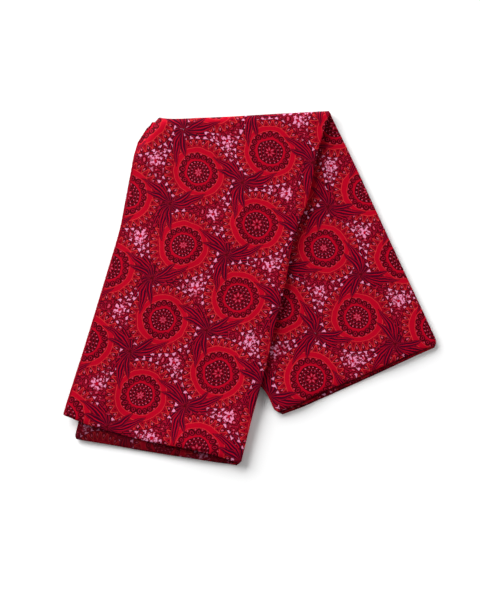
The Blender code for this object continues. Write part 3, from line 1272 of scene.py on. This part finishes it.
def yarn_tree():
    """Short bent yarns that splay from the points of cut edges, along their outward ways."""
    inputs = [(name, "Float") for name in YARN_SIZES]
    inputs += [("Seed", "Int"), ("Material", "Material")]
    tree, start, result = new_tree("frayed yarns", inputs)
    given = start.outputs

    def add(kind, inputs, **settings):
        return add_node(tree, kind, inputs, **settings)

    edges = add("GeometryNodeMeshToCurve", {"Mesh": given["Geometry"]})
    points = add(
        "GeometryNodeCurveToPoints", {"Curve": edges, "Length": given["Spacing"]}, mode="LENGTH"
    )
    tip = add("ShaderNodeCombineXYZ", {"X": given["Bend"], "Z": 1.0})
    yarn = add(
        "GeometryNodeCurvePrimitiveBezierSegment",
        {
            "Resolution": YARN_CORNERS,
            "Start": (0, 0, -YARN_ROOT),
            "Start Handle": (0, 0, YARN_ROOT),
            "End Handle": (0, 0, YARN_BEND),
            "End": tip,
        },
        mode="POSITION",
    )
    ring = add(
        "GeometryNodeCurvePrimitiveCircle",
        {"Resolution": YARN_CORNERS, "Radius": Value(given["Diameter"]) * 0.5}, mode="RADIUS",
    )
    tube = add(
        "GeometryNodeCurveToMesh", {"Curve": yarn, "Profile Curve": ring, "Fill Caps": True}
    )
    outward = add(
        "GeometryNodeInputNamedAttribute", {"Name": "outward"}, data_type="FLOAT_VECTOR"
    )
    low, high = Value(given["Spread"]) * -1.0, given["Spread"]
    least = add("ShaderNodeCombineXYZ", {"X": low, "Y": low, "Z": LEAST_OUT})
    most = add("ShaderNodeCombineXYZ", {"X": high, "Y": high, "Z": MOST_OUT})
    splay = add(
        "FunctionNodeRandomValue", {"Min": least, "Max": most, "Seed": given["Seed"]},
        data_type="FLOAT_VECTOR",
    )
    way = add("ShaderNodeVectorMath", {0: outward, 1: splay}, operation="ADD")
    aligned = add("FunctionNodeAlignRotationToVector", {"Vector": way}, axis="Z")
    lengths = add(
        "FunctionNodeRandomValue",
        {"Min": given["Shortest"], "Max": given["Longest"], "Seed": Value(given["Seed"]) + 1.0},
        data_type="FLOAT",
    )
    run = next(socket for socket in lengths.outputs if socket.type == "VALUE")
    scale = add("ShaderNodeCombineXYZ", {"X": 1.0, "Y": 1.0, "Z": run})
    yarns = add(
        "GeometryNodeInstanceOnPoints",
        {"Points": points, "Instance": tube, "Rotation": aligned, "Scale": scale},
    )
    real = add("GeometryNodeRealizeInstances", {"Geometry": yarns})
    dressed = add("GeometryNodeSetMaterial", {"Geometry": real, "Material": given["Material"]})
    tree.links.new(dressed.outputs[0], result.inputs[0])
    return tree


def cut_edges(folds):
    """Lines along the cut ends of every layer, with the way that points out of the cloth."""
    ends = bmesh.new()
    outward = ends.verts.layers.float_vector.new("outward")
    rows, columns = folds.rows(), folds.columns()
    for last, before in ((rows[0], rows[1]), (rows[-1], rows[-2])):
        previous = None
        for column in columns:
            place, _ = folds.point(last, column)
            inner, _ = folds.point(before, column)
            point = ends.verts.new(place)
            point[outward] = (place - inner).normalized()
            if previous:
                ends.edges.new((previous, point))
            previous = point
    mesh = bpy.data.meshes.new("frayed_yarns")
    ends.to_mesh(mesh)
    ends.free()
    return mesh


class CLOTH_OT_frayed_yarns(Operator):
    """Splay short loose yarns along the cut ends of the cloth"""

    bl_idname = "cloth.frayed_yarns"
    bl_label = "Frayed Yarns"

    def execute(self, context):
        scene = context.scene
        sizes, fraying = scene.cloth_sizes, scene.fraying_sizes
        cloth = bpy.data.objects.get("printed_cloth")
        if cloth is None:
            raise RuntimeError("make the folded cloth before its frayed yarns")
        yarns = shown("frayed_yarns", cut_edges(Folds(sizes)), ())
        grown = yarns.modifiers.new("yarns", "NODES")
        grown.node_group = yarn_tree()
        values = {name: getattr(fraying, name.lower()) for name in (*YARN_SIZES, "Seed")}
        values["Material"] = fibrous("loose yarn", scene.print_colours, "yarn", "ground")
        set_inputs(grown, values)
        make_plain(yarns)
        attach(yarns, "root")
        return {"FINISHED"}


def area_light(name, place, power, size):
    """A soft square light that faces the origin and isn't seen itself."""
    data = bpy.data.lights.new(name, "AREA")
    data.energy = power
    data.size = size
    lamp = in_scene(name, data)
    lamp.location = place
    lamp.rotation_euler = (-Vector(place)).to_track_quat("-Z", "Y").to_euler()
    lamp.visible_camera = False


class CLOTH_OT_studio(Operator):
    """Set up the pale floor, the soft light and the camera"""

    bl_idname = "cloth.studio"
    bl_label = "Studio"

    def execute(self, context):
        scene = context.scene
        sizes = scene.studio_sizes
        half = sizes.floor_size / 2
        sides = ((-half, -half), (half, -half), (half, half), (-half, half))
        mesh = bpy.data.meshes.new("studio_floor")
        mesh.from_pydata([(x, y, -FLOOR_DROP) for x, y in sides], [], [(0, 1, 2, 3)])
        material, _, surface = new_material("pale floor", *FLOOR_FINISH)
        surface.inputs["Base Color"].default_value = (*sizes.floor, 1.0)
        shown("studio_floor", mesh, (material,))

        world = bpy.data.worlds.new("studio")
        world.use_nodes = True
        background = world.node_tree.nodes["Background"]
        background.inputs["Strength"].default_value = sizes.sky
        background.inputs["Color"].default_value = (1, 1, 1, 1)
        scene.world = world
        area_light("key light", sizes.key_place, sizes.key, sizes.key_size)
        area_light("edge light", sizes.edge_place, sizes.edge, sizes.edge_size)

        data = bpy.data.cameras.new("camera")
        data.sensor_width = SENSOR_WIDTH
        data.lens = sizes.lens
        camera = in_scene("camera", data)
        back = Vector((0.0, -cos(sizes.elevation), sin(sizes.elevation)))
        camera.location = Vector(sizes.target) + back * sizes.distance
        camera.rotation_euler = (-back).to_track_quat("-Z", "Y").to_euler()
        scene.camera = camera
        scene.view_settings.view_transform = "Standard"
        scene.view_settings.look = "None"
        return {"FINISHED"}


GROUPS = {
    "cloth_sizes": ClothSizes,
    "print_colours": PrintColours,
    "print_sizes": PrintSizes,
    "fraying_sizes": FrayingSizes,
    "studio_sizes": StudioSizes,
}
OPERATORS = (CLOTH_OT_studio, CLOTH_OT_folded_sheet, CLOTH_OT_frayed_yarns)


class CLOTH_PT_sidebar(Panel):
    """Sizes, colours and operators of the folded cloth"""

    bl_idname = "CLOTH_PT_sidebar"
    bl_label = "Folded Printed Cotton"
    bl_space_type = "VIEW_3D"
    bl_region_type = "UI"
    bl_category = "Cloth"

    def draw(self, context):
        for operator in OPERATORS:
            self.layout.operator(operator.bl_idname)
        for name, group in GROUPS.items():
            box = self.layout.box()
            box.label(text=group.__doc__)
            settings = getattr(context.scene, name)
            for prop in group.__annotations__:
                box.prop(settings, prop)


def register():
    """Registers the classes and gives the scene its sizes and colours."""
    for name, group in GROUPS.items():
        bpy.utils.register_class(group)
        setattr(bpy.types.Scene, name, PointerProperty(type=group))
    for item in (*OPERATORS, CLOTH_PT_sidebar):
        bpy.utils.register_class(item)


def unregister():
    """Takes away what register added."""
    for item in (CLOTH_PT_sidebar, *reversed(OPERATORS)):
        bpy.utils.unregister_class(item)
    for name, group in GROUPS.items():
        delattr(bpy.types.Scene, name)
        bpy.utils.unregister_class(group)


def main():
    """Builds the scene."""
    register()
    bpy.ops.cloth.studio()
    bpy.ops.cloth.folded_sheet()
    bpy.ops.cloth.frayed_yarns()


if __name__ == "__main__":
    main()
